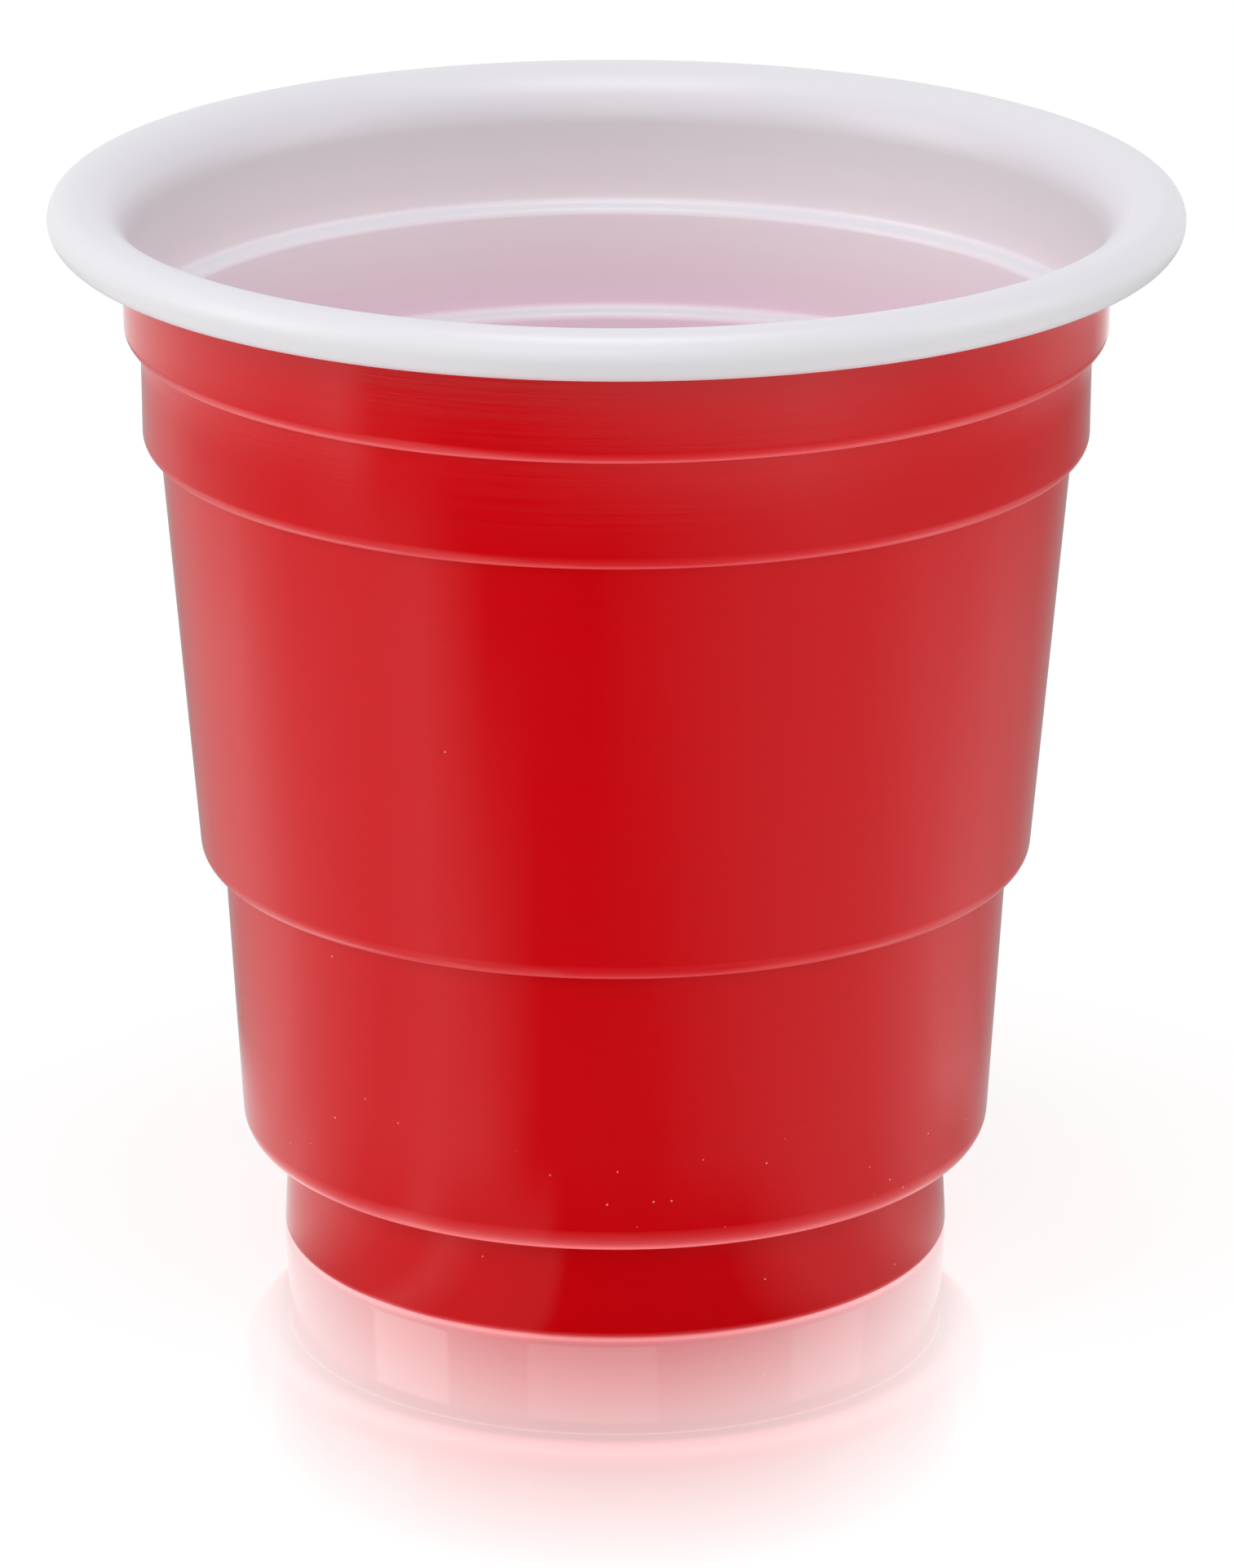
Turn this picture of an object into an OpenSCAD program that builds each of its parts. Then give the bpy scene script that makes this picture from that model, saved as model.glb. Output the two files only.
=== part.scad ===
// Small stepped shot cup, thermoformed in one piece from a thin plastic sheet.
// The origin is the centre of the circle that the cup stands on, with +Z up the cup's axis.
// The whole cup is one section of even thickness turned about the axis. The section is
// described by the middle line of the sheet: a list of corners, each with its own bend radius,
// and the lip's two round stretches.

/* [Sheet] */
// Thickness of the formed sheet
wall = 0.36; // [0.3:0.02:0.5]

/* [Base] */
// Outer radius of the foot where it meets the table
foot_r = 16.51; // [14:0.01:20]
// Width of the flat ring that the cup stands on
ring_w = 0.9; // [0.6:0.1:2]
// Height that the base panel is pushed up above the table
panel_rise = 1.6; // [1.2:0.1:3]
// Slope of the wall between the standing ring and the base panel, in degrees from level
panel_slope = 60; // [45:1:75]
// Bend radius at the edge of the base panel and inside the standing ring, mid-sheet
panel_bend = 0.5; // [0.3:0.05:0.8]
// Bend radius at the outer edge of the foot, on the tight side of the sheet
foot_bend = 0.04; // [0.02:0.02:0.4]

/* [Bands] */
// Height of the foot band, from the table to the lowest step
foot_h = 5; // [4:0.1:8]
// Height of the lower band
lower_h = 14.61; // [10:0.01:20]
// Height of the grip band
grip_h = 21; // [15:0.1:28]
// Height of the upper band
upper_h = 5.31; // [4:0.01:8]
// Height from the highest step to the top of the lip
collar_h = 7.15; // [6.5:0.05:10]
// How far the foot band leans in as it rises, in degrees
foot_lean = 3; // [0:0.5:5]
// How far the lower band leans out as it rises, in degrees
lower_lean = 3.4; // [1:0.1:5]
// How far the grip band leans out as it rises, in degrees
grip_lean = 4.85; // [2:0.05:6]
// How far the upper band leans out as it rises, in degrees
upper_lean = 0.4; // [0:0.1:3]
// How far the collar leans out as it rises, in degrees
collar_lean = 1; // [0:0.5:4]

/* [Steps] */
// Width of the step above the foot
foot_step = 2.18; // [1.4:0.01:3]
// Width of the step above the lower band
lower_step = 1.08; // [1:0.01:2]
// Width of the step above the grip band
grip_step = 0.82; // [0.75:0.01:1.5]
// Width of the step above the upper band
upper_step = 0.79; // [0.75:0.01:1.5]
// Bend radius at the outer edge of the step above the foot, mid-sheet
foot_edge_bend = 1.3; // [0.5:0.05:1.6]
// Bend radius at the outer edge of the step above the lower band, mid-sheet
lower_edge_bend = 0.78; // [0.4:0.01:0.9]
// Bend radius at the outer edge of the two upper steps, mid-sheet
upper_edge_bend = 0.53; // [0.3:0.01:0.6]
// Bend radius where a step meets the band below it, on the tight side of the sheet
root_bend = 0.08; // [0.06:0.02:0.2]

/* [Lip] */
// Bend radius from the collar over to the top of the lip, mid-sheet
lip_bend = 2.53; // [2:0.01:3.2]
// Outer radius of the roll
roll_r = 1.18; // [1:0.02:1.4]
// How far round the sheet is rolled, in degrees from the top of the lip
roll_turn = 235; // [180:5:250]

/* [Hidden] */

// Heights of the middle line, one for each step and one for the lip's top
half = wall / 2;
z_foot = foot_h + half;
z_lower = z_foot + lower_h;
z_grip = z_lower + grip_h;
z_upper = z_grip + upper_h;
z_top = z_upper + collar_h - wall;

// Radii of the middle line at the two ends of each band
foot_low = foot_r - half;
foot_high = foot_low - foot_h * tan(foot_lean);
lower_low = foot_high + foot_step;
lower_high = lower_low + lower_h * tan(lower_lean);
grip_low = lower_high + lower_step;
grip_high = grip_low + grip_h * tan(grip_lean);
upper_low = grip_high + grip_step;
upper_high = upper_low + upper_h * tan(upper_lean);
collar_low = upper_high + upper_step;

// The lip bends out from the collar through the rest of a quarter turn
lip_turn = 90 - collar_lean;
lip_z = z_top - lip_bend * (1 - sin(collar_lean));
lip_x = collar_low + (lip_z - z_upper) * tan(collar_lean);
top_x = lip_x + lip_bend * cos(collar_lean);

// The standing ring runs up to the panel's edge along one straight slope
foot_mid_bend = foot_bend + half;
root_mid_bend = root_bend + half;
ring_x = foot_low - foot_mid_bend - ring_w;
panel_x = ring_x - panel_rise / tan(panel_slope);

// Corners of the middle line from the axis outwards and up: radius, height, bend radius
corners = [
    [0, half + panel_rise, 0],
    [panel_x, half + panel_rise, panel_bend],
    [ring_x, half, panel_bend],
    [foot_low, half, foot_mid_bend],
    [foot_high, z_foot, root_mid_bend],
    [lower_low, z_foot, foot_edge_bend],
    [lower_high, z_lower, root_mid_bend],
    [grip_low, z_lower, lower_edge_bend],
    [grip_high, z_grip, root_mid_bend],
    [upper_low, z_grip, upper_edge_bend],
    [upper_high, z_upper, root_mid_bend],
    [collar_low, z_upper, upper_edge_bend],
    [lip_x, lip_z, 0],
];

// Angle between two points of a round stretch
arc_step = 10;

function left_of(v) = [-v[1], v[0]];

// A round stretch as pairs of a point and the direction of the line there.
// The turn is positive to the left, and heading is the direction at its start.
function arc_pairs(start, heading, radius, turn) =
    let (
        side = turn > 0 ? 1 : -1,
        centre = start + side * radius * left_of([cos(heading), sin(heading)]),
        count = ceil(abs(turn) / arc_step)
    )
    [for (i = [0:count])
        let (h = heading + turn * i / count)
        [centre - side * radius * left_of([cos(h), sin(h)]), h]];

// The straight side from one corner to the next
function side_at(i) =
    [corners[i + 1][0] - corners[i][0], corners[i + 1][1] - corners[i][1]];

function turn_at(i) =
    atan2(cross(side_at(i - 1), side_at(i)), side_at(i - 1) * side_at(i));

// Length that a corner's bend takes from each of its two sides
function reach_at(i) = i == 0 ? 0 : corners[i][2] * tan(abs(turn_at(i)) / 2);

// A corner's bend, limited by what the bend before it and half of the next side leave
function bend_at(i) =
    let (room = min(norm(side_at(i - 1)) - reach_at(i - 1), norm(side_at(i)) / 2))
    min(corners[i][2], room / tan(abs(turn_at(i)) / 2));

function corner_pairs(i) =
    let (
        into = side_at(i - 1),
        reach = bend_at(i) * tan(abs(turn_at(i)) / 2),
        start = [corners[i][0], corners[i][1]] - into / norm(into) * reach
    )
    arc_pairs(start, atan2(into[1], into[0]), bend_at(i), turn_at(i));

// The roll starts where the lip's bend ends, so its first point is left out
roll_pairs = arc_pairs([top_x, z_top], 0, roll_r - half, -roll_turn);
middle_line = concat(
    [[[corners[0][0], corners[0][1]], 0]],
    [for (i = [1:len(corners) - 2]) each corner_pairs(i)],
    arc_pairs([lip_x, lip_z], lip_turn, lip_bend, -lip_turn),
    [for (i = [1:len(roll_pairs) - 1]) roll_pairs[i]]
);

// One face of the sheet: the middle line moved sideways, to its left where shift is positive
function face(shift) =
    [for (p = middle_line) p[0] + shift * left_of([cos(p[1]), sin(p[1])])];

function reversed(list) = [for (i = [len(list) - 1:-1:0]) list[i]];

module cup() {
    color("crimson")
        rotate_extrude($fn = 144)
            polygon(concat(face(-half), reversed(face(half))));
}

cup();
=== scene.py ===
import math

import bpy
import numpy as np
from mathutils import Matrix


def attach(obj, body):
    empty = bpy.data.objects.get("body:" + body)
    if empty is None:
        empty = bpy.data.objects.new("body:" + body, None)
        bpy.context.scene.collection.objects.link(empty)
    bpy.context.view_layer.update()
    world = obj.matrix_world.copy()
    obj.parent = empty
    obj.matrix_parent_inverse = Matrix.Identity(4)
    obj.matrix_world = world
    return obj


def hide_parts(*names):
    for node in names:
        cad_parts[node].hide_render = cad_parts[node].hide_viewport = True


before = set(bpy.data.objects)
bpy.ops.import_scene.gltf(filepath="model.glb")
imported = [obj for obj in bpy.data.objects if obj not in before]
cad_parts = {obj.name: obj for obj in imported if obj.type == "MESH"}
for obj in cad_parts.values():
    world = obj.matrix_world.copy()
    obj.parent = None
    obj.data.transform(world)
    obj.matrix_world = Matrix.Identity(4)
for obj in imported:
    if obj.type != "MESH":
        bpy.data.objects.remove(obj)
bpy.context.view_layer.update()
scene = bpy.context.scene
millimetre = 0.001
plainWhite = (1, 1, 1, 1)


def linearColour(hexCode):
    # sRGB hex to linear: the low end is a straight line, the rest is a power of 2.4
    shown = np.array([int(hexCode[place:place + 2], 16) for place in (1, 3, 5)]) / 255
    linear = np.where(shown <= 0.04045, shown / 12.92, ((shown + 0.055) / 1.055) ** 2.4)
    return (*(float(part) for part in linear), 1.0)


def addNode(tree, kind, inputs=None, **settings):
    # adds one node; each input, by its name or its place, takes a value, a socket or a node's first output
    # (places: Map Range 1 to 4 are its from and to ends; Mix 2 and 3 are numbers, 6 and 7 are colours)
    node = tree.nodes.new(kind)
    for name, value in settings.items():
        setattr(node, name, value)
    for key, value in (inputs or {}).items():
        if isinstance(value, bpy.types.Node):
            value = value.outputs[0]
        if isinstance(value, bpy.types.NodeSocket):
            tree.links.new(value, node.inputs[key])
        else:
            node.inputs[key].default_value = value
    return node


def newMaterial(name):
    material = bpy.data.materials.new(name)
    material.use_nodes = True
    material.node_tree.nodes.clear()
    return material, material.node_tree


# The cup's sheet: sizes in millimetres and degrees, the same as in the CAD part
cupSheet = {
    "wall": 0.36,
    "footRadius": 16.51,
    "ringWidth": 0.9,
    "panelRise": 1.6,
    "panelSlope": 60,
    "panelBend": 0.5,
    "footBend": 0.04,                        # on the tight side of the sheet, and the root bend too
    "bandHeights": (5, 14.61, 21, 5.31),     # foot, lower band, grip, upper band
    "bandLeans": (-3, 3.4, 4.85, 0.4),       # outwards as the band rises
    "stepWidths": (2.18, 1.08, 0.82, 0.79),
    "stepBends": (1.3, 0.78, 0.53, 0.53),    # outer edge of each step, mid-sheet
    "rootBend": 0.08,
    "collarHeight": 7.15,
    "collarLean": 1,
    "lipBend": 2.53,
    "rollRadius": 1.18,
    "rollTurn": 235,
    "bendStep": 10,       # degrees between two rows of a bend
    "rollStep": 7,
    "edgeRows": 7,        # rows round the cut edge, which is hidden under the lip
    "straightStep": 1.6,  # millimetres between two rows of a straight stretch
    "turnSteps": 256,
    # how much painted highlight the red skin's bends get, where they face down towards the bright table: by
    # the degrees that it faces down, and by the height
    "highlightByDip": ((6, 0), (15, 0.04), (30, 0.12), (42, 0.42), (52, 1), (75, 0.8), (86, 0)),
    "highlightByHeight": ((1, 0.6), (4.5, 0.66), (19, 0.15), (40, 0.16), (46, 0.27)),
    # painted shade on the white ledges: a darker white where the skin faces up to the top lamp
    "ledgeShadeFrom": (10, 55),  # degrees that the white skin faces up, from a wall's to a full ledge's
}


def leftOf(vectors):
    # each vector turned a quarter turn to the left
    return np.stack([-vectors[..., 1], vectors[..., 0]], axis=-1)


def along(headings):
    # unit vectors that point the way of each heading
    return np.stack([np.cos(headings), np.sin(headings)], axis=-1)


def roundStretch(start, heading, radius, turn, step):
    # a circle's arc: its centre is one radius to the side of the start, and the heading turns evenly
    side = math.copysign(1, turn)
    centre = start + side * radius * leftOf(along(heading))
    headings = heading + turn * np.linspace(0, 1, math.ceil(abs(turn) / step) + 1)
    return centre - side * radius * leftOf(along(headings)), headings


def straightStretch(start, end, heading, step):
    # points between start and end, evenly spaced, without the two ends
    count = max(1, math.ceil(np.linalg.norm(end - start) / step))
    share = np.linspace(0, 1, count + 1)[1:-1, None]
    return start + share * (end - start), np.full(len(share), heading)


def cupCorners(sheet):
    # each band rises by its height and spreads by height times tan of its lean, then comes its step
    half = sheet["wall"] / 2
    footLow = sheet["footRadius"] - half
    footBend, rootBend = sheet["footBend"] + half, sheet["rootBend"] + half
    ringX = footLow - footBend - sheet["ringWidth"]
    panelX = ringX - sheet["panelRise"] / math.tan(math.radians(sheet["panelSlope"]))
    panelZ = half + sheet["panelRise"]
    corners = [(0, panelZ, 0), (panelX, panelZ, sheet["panelBend"]),
               (ringX, half, sheet["panelBend"]), (footLow, half, footBend)]
    radius, height = footLow, half
    for rise, lean, step, bend in zip(sheet["bandHeights"], sheet["bandLeans"],
                                      sheet["stepWidths"], sheet["stepBends"]):
        radius, height = radius + rise * math.tan(math.radians(lean)), height + rise
        corners += [(radius, height, rootBend), (radius + step, height, bend)]
        radius += step
    # the collar's straight ends where the lip's bend of nearly a quarter turn begins
    lean = math.radians(sheet["collarLean"])
    lipZ = height + sheet["collarHeight"] - sheet["wall"] - sheet["lipBend"] * (1 - math.sin(lean))
    return np.array(corners + [(radius + (lipZ - height) * math.tan(lean), lipZ, 0)])


def middleLine(sheet):
    # corners joined by straights; each corner is cut by an arc of its bend, or of the room that the bend
    # before it and half of the next side leave; the lip's bend and the roll follow
    corners = cupCorners(sheet)
    bendStep, rollStep = (math.radians(sheet[name]) for name in ("bendStep", "rollStep"))
    sides = np.diff(corners[:, :2], axis=0)
    lengths = np.linalg.norm(sides, axis=1)
    slopes = np.arctan2(sides[:, 1], sides[:, 0])
    turns = np.diff(slopes)
    halfTans = np.tan(np.abs(turns) / 2)
    reaches = np.concatenate([[0], corners[1:-1, 2] * halfTans])
    rooms = np.minimum(lengths[:-1] - reaches[:-1], lengths[1:] / 2)
    radii = np.minimum(corners[1:-1, 2], rooms / halfTans)
    points, headings = [corners[:1, :2]], [np.zeros(1)]

    def add(stretch):
        points.append(stretch[0])
        headings.append(stretch[1])

    for corner, slope, turn, radius, halfTan in zip(corners[1:-1, :2], slopes, turns, radii, halfTans):
        start = corner - along(slope) * radius * halfTan
        add(straightStretch(points[-1][-1], start, slope, sheet["straightStep"]))
        add(roundStretch(start, slope, radius, turn, bendStep))
    add(straightStretch(points[-1][-1], corners[-1, :2], slopes[-1], sheet["straightStep"]))
    add(roundStretch(corners[-1, :2], slopes[-1], sheet["lipBend"], -slopes[-1], rollStep))
    half = sheet["wall"] / 2
    rollMid = sheet["rollRadius"] - half
    rollTurn = math.radians(sheet["rollTurn"]) - half / rollMid  # the round cut edge takes the rest
    roll, rollHeadings = roundStretch(points[-1][-1], 0.0, rollMid, -rollTurn, rollStep)
    add((roll[1:], rollHeadings[1:]))
    return np.concatenate(points), np.concatenate(headings)


def sheetSection(sheet):
    # the middle line moved half a wall to its right, a round cut edge, then the way back, moved half a wall
    # to its left
    points, headings = middleLine(sheet)
    half = sheet["wall"] / 2
    side = leftOf(along(headings))
    edgeTurns = np.radians(np.linspace(-90, 90, sheet["edgeRows"] + 2)[1:-1])
    edgeSides = along(headings[-1] + edgeTurns)
    redFace, whiteFace = points - half * side, points + half * side
    section = np.concatenate([redFace, points[-1] + half * edgeSides, whiteFace[::-1]])
    outwards = np.concatenate([-side, edgeSides, side[::-1]])
    return section, outwards, len(points) + len(edgeTurns) // 2


def paintedLightRows(sheet, section, outwards, whiteFrom):
    # the red gets a painted highlight by how far it faces down times the share for its height; the white gets
    # painted shade where it faces up on the ledges of the steps
    isRed = np.arange(len(section)) < whiteFrom
    rising = np.degrees(np.arcsin(np.clip(outwards[:, 1], -1, 1)))
    byDip = np.interp(-rising, *zip(*sheet["highlightByDip"]))
    byHeight = np.interp(section[:, 1], *zip(*sheet["highlightByHeight"]))
    level = np.interp(rising, sheet["ledgeShadeFrom"], (0, 1))
    return {"bendHighlight": byDip * byHeight * isRed, "level": level * ~isRed}


def turnedSurface(name, section, outwards, steps, whiteFrom, rowValues):
    # a point at radius r and height z goes to (r cos t, r sin t, z) for each step t of the full turn
    turns = np.linspace(0, 2 * math.pi, steps, endpoint=False)
    ring = np.stack([np.cos(turns), np.sin(turns)], axis=-1)

    def swept(pairs):
        rings = pairs[1:-1, None, :1] * ring[None]
        heights = np.broadcast_to(pairs[1:-1, None, 1:], rings.shape[:2] + (1,))
        body = np.concatenate([rings, heights], axis=2).reshape(-1, 3)
        ends = [[0, 0, pairs[0, 1]], [0, 0, pairs[-1, 1]]]
        return np.concatenate([ends[:1], body, ends[1:]])

    rows = len(section) - 2
    here = 1 + np.arange(rows)[:, None] * steps + np.arange(steps)[None]
    beside = np.roll(here, -1, axis=1)
    quads = np.stack([here[:-1], beside[:-1], beside[1:], here[1:]], axis=-1).reshape(-1, 4)
    lowFan = np.stack([np.zeros(steps, int), beside[0], here[0]], axis=-1)
    highFan = np.stack([here[-1], beside[-1], np.full(steps, rows * steps + 1)], axis=-1)
    mesh = bpy.data.meshes.new(name)
    mesh.from_pydata((swept(section) * millimetre).tolist(), [],
                     lowFan.tolist() + quads.tolist() + highFan.tolist())
    faceRow = np.concatenate([np.zeros(steps, int), np.repeat(np.arange(1, rows), steps),
                              np.full(steps, rows)])
    mesh.polygons.foreach_set("material_index", (faceRow >= whiteFrom).astype(np.int32))
    mesh.polygons.foreach_set("use_smooth", np.ones(len(faceRow), bool))
    mesh.update()
    mesh.normals_split_custom_set_from_vertices(swept(outwards).tolist())
    for label, values in rowValues.items():
        spread = np.concatenate([values[:1], np.repeat(values[1:-1], steps), values[-1:]])
        mesh.attributes.new(label, "FLOAT", "POINT").data.foreach_set("value", spread.astype(np.float32))
    piece = bpy.data.objects.new(name, mesh)
    scene.collection.objects.link(piece)
    return piece


section, outwards, whiteFrom = sheetSection(cupSheet)
cup = turnedSurface("steppedCup", section, outwards, cupSheet["turnSteps"], whiteFrom,
                    paintedLightRows(cupSheet, section, outwards, whiteFrom))
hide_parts("cup")
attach(cup, "root")
triangles = sum(len(face.vertices) - 2 for face in cup.data.polygons)
print("cup made,", len(section), "rows,", triangles, "triangles")


# Red skin of co-extruded, thermoformed polystyrene: a deep even red with a high gloss.
# The tool drew it down in rings, so fine level streaks break its reflections.
# At the steps each bend gets a painted highlight, a pale line where it faces down towards the bright table,
# and a painted glow, an emission though the bend is no lamp.
redSkin = {
    "colour": "#D3040F",
    "streakColour": "#CB030D",
    "bendHighlightColour": "#FFC0C4",
    "paintedGlowColour": "#FF6169",      # painted glow: the colour that the bends give off, though they are no lamp
    "glow": 0.4,
    "ior": 1.5,
    "roughness": (0.05, 0.1),     # between the smoothest and the dullest streak
    "footRoughness": 0.05,        # the foot took the tool's own gloss
    "footTop": (5.2, 5.5),        # millimetres, where the foot's finish gives way to the drawn one
    "streakHeight": 0.16,         # millimetres between streaks
    "streakLength": 14,
    "streakDetail": 3.0,
    "streakRange": (0.3, 0.7),
    "grainSize": 0.09,
    "bumpHeight": 0.001,
    "speckColour": "#F0A0A0",
    "speckSpacing": 0.8,
    "speckSize": 0.065,
    "speckZone": (6, 11.5),       # millimetres, from where specks are thick to where they are rare
    "speckChances": (0.85, 0.01),  # at the two ends of the zone
    "footSpeckChance": 0.12,
}

# White skin of the same sheet: opaque white at the lip and on the ledges, where the sheet is thick; the lip
# and the ledges are painted darker, as painted shade against the top lamp. Lower down the sheet is drawn
# thinner, and the red behind it tints it pink.
whiteSkin = {
    "lipShadedColour": "#DFDEE1",
    "collarLitColour": "#FAF1F5",
    "deepTintAndBounceColour": "#F9E0EB",
    "shadedLedgeColour": "#E3E1E7",
    "lipHeight": 51.4,
    "collarHeight": 46.3,
    "deepHeight": 41,
    "ior": 1.5,
    "roughness": (0.3, 0.4),
    "streakHeight": 0.3,
    "streakLength": 25,
    "streakDetail": 2.0,
    "streakRange": (0.3, 0.7),
    "bumpHeight": 0.002,
}


def streakField(tree, place, skin):
    # noise squeezed along Z, so that it changes fast with height and slowly round the cup
    wide, high = (1 / (skin[name] * millimetre) for name in ("streakLength", "streakHeight"))
    squeezed = addNode(tree, "ShaderNodeMapping", {"Vector": place, "Scale": (wide, wide, high)})
    return addNode(tree, "ShaderNodeTexNoise", {"Vector": squeezed, "Scale": 1.0, "Roughness": 0.6,
                                                "Detail": skin["streakDetail"]}).outputs["Fac"]


def streakRoughness(tree, streaks, skin):
    # the roughness rises evenly with the streak noise, over its usual range
    start, end = skin["streakRange"]
    low, high = skin["roughness"]
    return addNode(tree, "ShaderNodeMapRange", {0: streaks, 1: start, 2: end, 3: low, 4: high})


def speckField(tree, place, height, onBand, skin):
    # a small dot in the middle of some cells: a cell keeps its dot where its random red is below the chance
    cells = addNode(tree, "ShaderNodeTexVoronoi",
                    {"Vector": place, "Scale": 1 / (skin["speckSpacing"] * millimetre)})
    size = skin["speckSize"] / skin["speckSpacing"]
    dot = addNode(tree, "ShaderNodeMapRange", {0: cells.outputs["Distance"], 1: size, 2: size * 0.4})
    chosen = addNode(tree, "ShaderNodeSeparateColor", {0: cells.outputs["Color"]}).outputs["Red"]
    low, high = skin["speckZone"]
    thick, rare = skin["speckChances"]
    bandChance = addNode(tree, "ShaderNodeMapRange",
                         {0: height, 1: high * millimetre, 2: low * millimetre, 3: rare, 4: thick})
    chance = addNode(tree, "ShaderNodeMix", {0: onBand, 2: skin["footSpeckChance"], 3: bandChance},
                     data_type="FLOAT")
    kept = addNode(tree, "ShaderNodeMath", {0: chosen, 1: chance}, operation="LESS_THAN")
    return addNode(tree, "ShaderNodeMath", {0: dot, 1: kept}, operation="MULTIPLY")


def makeRedSkin(skin):
    material, tree = newMaterial("coextrudedThermoformedPolystyreneRed")
    place = addNode(tree, "ShaderNodeTexCoord").outputs["Object"]
    height = addNode(tree, "ShaderNodeSeparateXYZ", {0: place}).outputs["Z"]
    footTop, bandStart = skin["footTop"]
    onBand = addNode(tree, "ShaderNodeMapRange",
                     {0: height, 1: footTop * millimetre, 2: bandStart * millimetre})
    streaks = streakField(tree, place, skin)
    streaked = addNode(tree, "ShaderNodeMix", {0: streaks, 6: linearColour(skin["colour"]),
                                               7: linearColour(skin["streakColour"])}, data_type="RGBA")
    # painted highlight: the bends turn pale where they face down towards the bright table
    bendHighlight = addNode(tree, "ShaderNodeAttribute", attribute_name="bendHighlight").outputs["Fac"]
    highlighted = addNode(tree, "ShaderNodeMix", {0: bendHighlight, 6: streaked.outputs[2],
                                               7: linearColour(skin["bendHighlightColour"])}, data_type="RGBA")
    # pale specks of dust, on the lowest part of the lower band and a few on the foot
    specks = speckField(tree, place, height, onBand, skin)
    specked = addNode(tree, "ShaderNodeMix", {0: specks, 6: highlighted.outputs[2],
                                              7: linearColour(skin["speckColour"])}, data_type="RGBA")
    rough = addNode(tree, "ShaderNodeMix", {0: onBand, 2: skin["footRoughness"],
                                            3: streakRoughness(tree, streaks, skin)}, data_type="FLOAT")
    grain = addNode(tree, "ShaderNodeTexNoise",
                    {"Vector": place, "Scale": 1 / (skin["grainSize"] * millimetre), "Detail": 2.0})
    relief = addNode(tree, "ShaderNodeMath", {0: streaks, 1: grain.outputs["Fac"]}, operation="ADD")
    bump = addNode(tree, "ShaderNodeBump", {"Height": relief, "Strength": 1.0,
                                            "Distance": skin["bumpHeight"] * millimetre})
    # the painted glow goes by the square root of the painted bend highlight, so that it reaches wider than
    # its pale colour
    glowSpread = addNode(tree, "ShaderNodeMath", {0: bendHighlight, 1: 0.5}, operation="POWER")
    glow = addNode(tree, "ShaderNodeMath", {0: glowSpread, 1: skin["glow"]}, operation="MULTIPLY")
    shader = addNode(tree, "ShaderNodeBsdfPrincipled", {
        "Base Color": specked.outputs[2], "Roughness": rough, "IOR": skin["ior"], "Normal": bump,
        "Emission Color": linearColour(skin["paintedGlowColour"]), "Emission Strength": glow})
    addNode(tree, "ShaderNodeOutputMaterial", {"Surface": shader})
    return material


def makeWhiteSkin(skin):
    material, tree = newMaterial("coextrudedThermoformedPolystyreneWhite")
    place = addNode(tree, "ShaderNodeTexCoord").outputs["Object"]
    height = addNode(tree, "ShaderNodeSeparateXYZ", {0: place}).outputs["Z"]
    deep, collar, lip = (skin[name] for name in ("deepHeight", "collarHeight", "lipHeight"))
    # painted light and shade by height: the lip darker, the collar inside lighter, and the deep part pinker
    # as painted light from bounces inside the cup, on top of the real pink of the thinner sheet
    rise = addNode(tree, "ShaderNodeMapRange", {0: height, 1: deep * millimetre, 2: lip * millimetre})
    ramp = addNode(tree, "ShaderNodeValToRGB", {0: rise})
    stops = ramp.color_ramp.elements
    stops[0].color = linearColour(skin["deepTintAndBounceColour"])
    stops[1].color = linearColour(skin["lipShadedColour"])
    stops.new((collar - deep) / (lip - deep)).color = linearColour(skin["collarLitColour"])
    # painted shade: where the white faces up on the ledges it is mixed towards a darker white
    level = addNode(tree, "ShaderNodeAttribute", attribute_name="level").outputs["Fac"]
    ledgeShaded = addNode(tree, "ShaderNodeMix", {0: level, 6: ramp, 7: linearColour(skin["shadedLedgeColour"])},
                     data_type="RGBA")
    streaks = streakField(tree, place, skin)
    bump = addNode(tree, "ShaderNodeBump", {"Height": streaks, "Strength": 1.0,
                                            "Distance": skin["bumpHeight"] * millimetre})
    shader = addNode(tree, "ShaderNodeBsdfPrincipled", {
        "Base Color": ledgeShaded.outputs[2], "Roughness": streakRoughness(tree, streaks, skin),
        "IOR": skin["ior"], "Normal": bump})
    addNode(tree, "ShaderNodeOutputMaterial", {"Surface": shader})
    return material


for skin in (makeRedSkin(redSkin), makeWhiteSkin(whiteSkin)):
    cup.data.materials.append(skin)
print("skins made")


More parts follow.
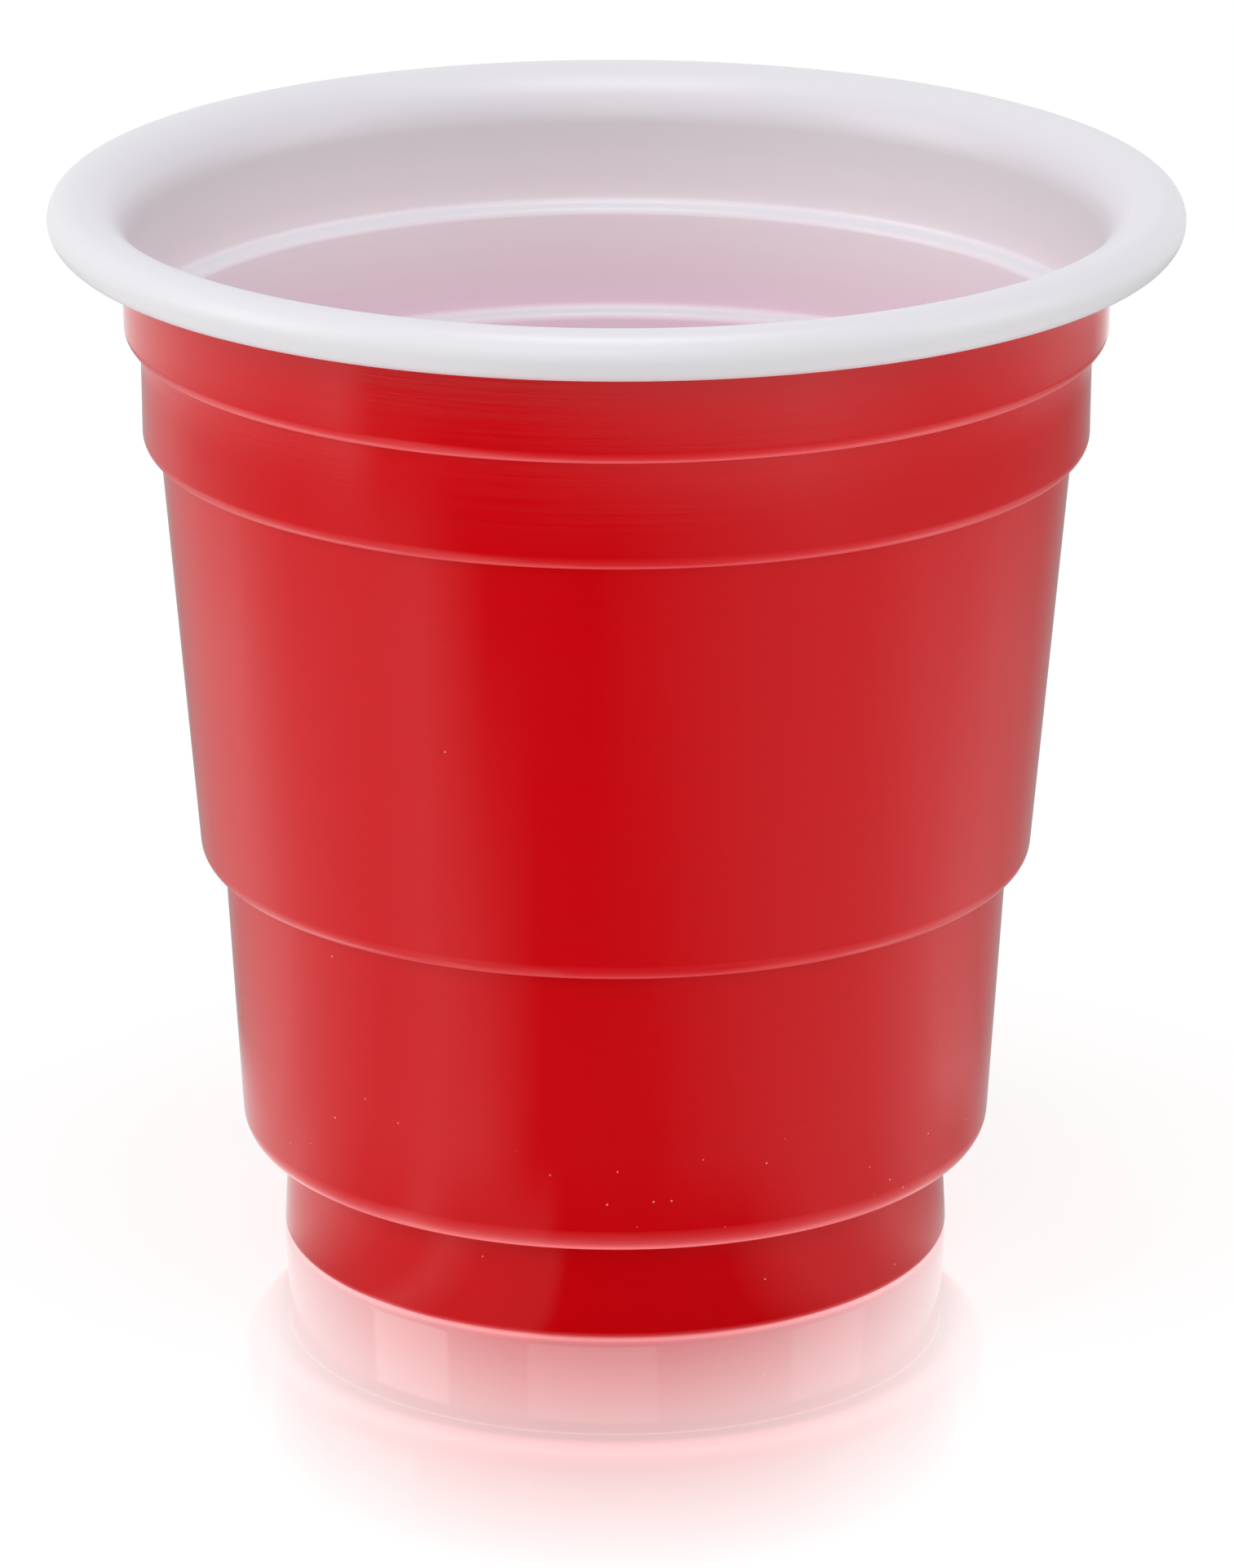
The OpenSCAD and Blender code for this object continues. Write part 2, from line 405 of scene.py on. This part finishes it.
# Polished white acrylic table: it mirrors the foot, and the mirror image fades with distance
table = {
    "halfWidth": 2.0,        # metres
    "colour": "#898989",
    "lift": 0.81,            # light that brings the lit table up to the white of the background
    "bounceMatt": 0.85,      # how light the table is for the rays that light the cup
    "bounceLight": 0.09,     # and its own light for them, to which the tone adds its share
    "bounceByTone": 0.25,
    "mirror": 0.78,          # share mirrored at the front of the foot
    "mirrorReach": 29.5,     # millimetres from the foot to where the image has faded
    "mirrorCircle": 16.3,    # radius of the foot's circle, in millimetres
    "mirrorHalfWidth": 18.5,
    "mirrorFall": 0.72,
    "mirrorTint": "#FFCCCF",  # the red light of the cup on the table, which the lift would wash out
    "mirrorGain": 0.28,      # and how much more light the lift gives where the table mirrors
    "mirrorRoughness": 0.03,
    # painted room light and painted shadow that the cup's gloss shows by way of the table, the dark parts at
    # the front being the cup's
    # shadow: distance from the axis in millimetres, then the tone in each direction, in degrees from the
    # front, positive to the right
    "paintedGlossTones": (
        (30, ((-180, 0.5), (-84, 1.0), (-62, 0.42), (-51, 0.38), (-44, 0.68), (-34, 0.3), (-15, 0.29),
              (-12, 0.0), (28, 0.03), (46, 0.46), (62, 0.5), (78, 0.76), (98, 0.48), (180, 0.5))),
        (38, ((-180, 0.4), (-130, 0.45), (-98, 1.0), (-60, 0.5), (-44, 0.7), (-32, 0.58), (-18, 0.04),
              (8, 0.05), (38, 0.4), (64, 0.56), (94, 0.97), (118, 0.42), (180, 0.4))),
        (95, ((-180, 0.4), (-149, 0.39), (-107, 1.0), (-84, 0.6), (-62, 0.55), (-46, 0.68), (-30, 0.04),
              (-5, 0.0), (33, 0.37), (60, 0.46), (78, 0.7), (107, 0.7), (131, 0.37), (180, 0.35))),
        (164, ((-180, 0.4), (-128, 0.64), (-110, 0.44), (-78, 0.27), (-63, 0.38), (-46, 0.2), (-36, 0.0),
               (0, 0.0), (48, 0.46), (100, 0.27), (135, 0.25), (180, 0.5))),
        (172, ((-180, 0.9), (-122, 1.0), (-75, 0.72), (-63, 0.92), (-54, 0.08), (-22, 0.0), (8, 0.5),
               (24, 0.7), (42, 1.0), (75, 0.54), (115, 0.72), (140, 0.5), (158, 1.0), (180, 0.9))),
        (181, ((-180, 0.9), (-122, 1.0), (-75, 0.72), (-63, 0.92), (-54, 0.2), (-22, 0.15), (8, 0.5),
               (24, 0.7), (42, 1.0), (75, 0.54), (115, 0.72), (140, 0.5), (158, 1.0), (180, 0.9))),
        (187, ((-180, 1.0), (180, 1.0))),
    ),
}


def anyOfRays(tree, *kinds):
    # 1 for the named kinds of rays, 0 for all the others
    rays = addNode(tree, "ShaderNodeLightPath")
    found = rays.outputs[kinds[0]]
    for kind in kinds[1:]:
        either = addNode(tree, "ShaderNodeMath", {0: found, 1: rays.outputs[kind]}, operation="MAXIMUM")
        found = either.outputs[0]
    return found


def toneField(tree, parts, distance, rings):
    # each ring's tones run round the axis, and from one ring to the next they blend with the distance
    towards = addNode(tree, "ShaderNodeMath", {0: parts.outputs["Y"], 1: -1.0}, operation="MULTIPLY")
    angle = addNode(tree, "ShaderNodeMath", {0: parts.outputs["X"], 1: towards}, operation="ARCTAN2")
    turned = addNode(tree, "ShaderNodeMapRange", {0: angle, 1: -math.pi, 2: math.pi})
    field, before = None, 0
    for reach, tones in rings:
        ramp = addNode(tree, "ShaderNodeValToRGB", {0: turned})
        stops = ramp.color_ramp.elements
        for index, (degrees, tone) in enumerate(tones):
            place = (degrees + 180) / 360
            isEnd = index in (0, len(tones) - 1)
            stop = stops[-1 if index else 0] if isEnd else stops.new(place)
            stop.position = place
            stop.color = (tone, tone, tone, 1)
        if field is None:
            field = ramp.outputs[0]
        else:
            blend = addNode(tree, "ShaderNodeMapRange",
                            {0: distance, 1: before * millimetre, 2: reach * millimetre})
            field = addNode(tree, "ShaderNodeMix", {0: blend, 6: field, 7: ramp}, data_type="RGBA").outputs[2]
        before = reach
    return field


def roundDepth(tree, across, radius):
    # one less the square of X over the radius, and never below zero
    ratio = addNode(tree, "ShaderNodeMath", {0: across, 1: radius * millimetre}, operation="DIVIDE")
    squared = addNode(tree, "ShaderNodeMath", {0: ratio, 1: ratio}, operation="MULTIPLY")
    return addNode(tree, "ShaderNodeMath", {0: 1.0, 1: squared}, operation="SUBTRACT", use_clamp=True)


def mirrorShare(tree, parts, seen, table):
    # the mirror image fades evenly with the distance past the foot's circle, times a power of the round
    # depth towards both sides
    across, circle = parts.outputs["X"], table["mirrorCircle"]
    depth = addNode(tree, "ShaderNodeMath", {0: roundDepth(tree, across, circle), 1: 0.5}, operation="POWER")
    edge = addNode(tree, "ShaderNodeMath", {0: depth, 1: circle * millimetre}, operation="MULTIPLY")
    outward = addNode(tree, "ShaderNodeMath", {0: parts.outputs["Y"]}, operation="ABSOLUTE")
    past = addNode(tree, "ShaderNodeMath", {0: outward, 1: edge}, operation="SUBTRACT")
    fading = addNode(tree, "ShaderNodeMapRange", {0: past, 1: 0.0, 2: table["mirrorReach"] * millimetre,
                                                  3: table["mirror"], 4: 0.0})
    narrowing = addNode(tree, "ShaderNodeMath", {0: roundDepth(tree, across, table["mirrorHalfWidth"]),
                                                 1: table["mirrorFall"]}, operation="POWER")
    narrowed = addNode(tree, "ShaderNodeMath", {0: fading, 1: narrowing}, operation="MULTIPLY")
    return addNode(tree, "ShaderNodeMath", {0: narrowed, 1: seen}, operation="MULTIPLY")


def makeTable(table):
    half = table["halfWidth"]
    mesh = bpy.data.meshes.new("tableTop")
    mesh.from_pydata([(-half, -half, 0), (half, -half, 0), (half, half, 0), (-half, half, 0)], [],
                     [(0, 1, 2, 3)])
    top = bpy.data.objects.new("tableTop", mesh)
    scene.collection.objects.link(top)
    material, tree = newMaterial("polishedAcrylicTable")
    place = addNode(tree, "ShaderNodeTexCoord").outputs["Object"]
    parts = addNode(tree, "ShaderNodeSeparateXYZ", {0: place})
    distance = addNode(tree, "ShaderNodeVectorMath", {0: place}, operation="LENGTH").outputs["Value"]
    seen = anyOfRays(tree, "Is Camera Ray", "Is Transmission Ray")
    share = mirrorShare(tree, parts, seen, table)
    tones = toneField(tree, parts, distance, table["paintedGlossTones"])
    # the cup is lit by the matt table and by the painted room tones, which the table gives off as light; what
    # is seen is lifted to white
    own = addNode(tree, "ShaderNodeMath", {0: tones, 1: table["bounceByTone"], 2: table["bounceLight"]},
                  operation="MULTIPLY_ADD")
    lift = table["lift"]
    raised = addNode(tree, "ShaderNodeMath", {0: share, 1: lift * table["mirrorGain"], 2: lift},
                     operation="MULTIPLY_ADD")
    strength = addNode(tree, "ShaderNodeMix", {0: seen, 2: own, 3: raised}, data_type="FLOAT")
    tint = addNode(tree, "ShaderNodeMix", {0: share, 6: plainWhite, 7: linearColour(table["mirrorTint"])},
                   data_type="RGBA")
    glow = addNode(tree, "ShaderNodeEmission", {"Color": tint.outputs[2], "Strength": strength})
    matt = (*(table["bounceMatt"],) * 3, 1)
    colour = addNode(tree, "ShaderNodeMix", {0: seen, 6: matt, 7: linearColour(table["colour"])},
                     data_type="RGBA")
    diffuse = addNode(tree, "ShaderNodeBsdfDiffuse", {"Color": colour.outputs[2]})
    lit = addNode(tree, "ShaderNodeAddShader", {0: glow, 1: diffuse})
    mirror = addNode(tree, "ShaderNodeBsdfGlossy",
                     {"Color": plainWhite, "Roughness": table["mirrorRoughness"]})
    looked = addNode(tree, "ShaderNodeMixShader", {0: share, 1: lit, 2: mirror})
    # the cup's gloss sees the painted room light and painted shadow in the table's place
    room = addNode(tree, "ShaderNodeEmission", {"Color": tones})
    surface = addNode(tree, "ShaderNodeMixShader", {0: anyOfRays(tree, "Is Glossy Ray"), 1: looked, 2: room})
    addNode(tree, "ShaderNodeOutputMaterial", {"Surface": surface})
    mesh.materials.append(material)
    return top


makeTable(table)
print("table made")

# Plain studio light: a pale room and four soft boxes, sizes in metres, power in watts
studio = {
    "roomLevel": 0.5,
    "lamps": (
        # name, place, width and height, power
        ("topSoftbox", (0.0, -0.12, 0.75), (0.36, 0.36), 1.5),
        ("frontSoftbox", (-0.1, -0.7, 0.42), (0.6, 0.4), 0.85),
        ("leftSoftbox", (-0.68, -0.15, 0.32), (0.4, 0.5), 1.42),
        ("rightSoftbox", (0.68, -0.1, 0.33), (0.4, 0.5), 0.72),
    ),
    "aim": (0, 0, 0.03),
}


def makeStudio(studio):
    world = bpy.data.worlds.new("paleRoom")
    scene.world = world
    world.use_nodes = True
    tree = world.node_tree
    tree.nodes.clear()
    # the room is plain white for the rays that see it, and dimmer for the rays that light the cup
    seen = anyOfRays(tree, "Is Camera Ray", "Is Glossy Ray", "Is Transmission Ray")
    level = addNode(tree, "ShaderNodeMix", {0: seen, 2: studio["roomLevel"], 3: 1.0}, data_type="FLOAT")
    room = addNode(tree, "ShaderNodeBackground", {"Color": plainWhite, "Strength": level})
    addNode(tree, "ShaderNodeOutputWorld", {"Surface": room})
    aim = np.array(studio["aim"])
    for name, place, size, power in studio["lamps"]:
        light = bpy.data.lights.new(name, "AREA")
        light.shape, light.size, light.size_y, light.energy = "RECTANGLE", size[0], size[1], power
        lamp = bpy.data.objects.new(name, light)
        scene.collection.objects.link(lamp)
        away = np.array(place) - aim
        flat = math.hypot(away[0], away[1])
        # the lamp's -Z points at the cup: tilt from straight down, then turn about Z
        turn = Matrix.Rotation(math.atan2(away[0], -away[1]), 4, "Z")
        tilt = Matrix.Rotation(math.atan2(flat, away[2]), 4, "X")
        lamp.matrix_world = Matrix.Translation(place) @ turn @ tilt
        lamp.visible_camera = False


makeStudio(studio)
scene.view_settings.view_transform = "Standard"
print("studio made")

# The photograph's camera, found from the rim, the steps and the foot
photoCamera = {
    "place": (0, -0.39984, 0.15464),  # metres
    "downwards": 0.318446,            # radians below level
    "turn": -0.000151,                # sets the cup 1.6 pixels left of the middle
    "roll": 0.001425,
    "focalPixels": 10481.6,
    "imageHeight": 1922,
    "sensor": 36,                     # millimetres
    "clip": (0.01, 20),
}


def makeCamera(view):
    data = bpy.data.cameras.new("photoCamera")
    data.sensor_width = view["sensor"]
    data.lens = view["sensor"] * view["focalPixels"] / view["imageHeight"]
    data.clip_start, data.clip_end = view["clip"]
    data.dof.use_dof = False
    camera = bpy.data.objects.new("photoCamera", data)
    scene.collection.objects.link(camera)
    camera.matrix_world = (Matrix.Translation(view["place"]) @ Matrix.Rotation(view["turn"], 4, "Z")
                           @ Matrix.Rotation(math.pi / 2 - view["downwards"], 4, "X")
                           @ Matrix.Rotation(view["roll"], 4, "Z"))
    scene.camera = camera


makeCamera(photoCamera)
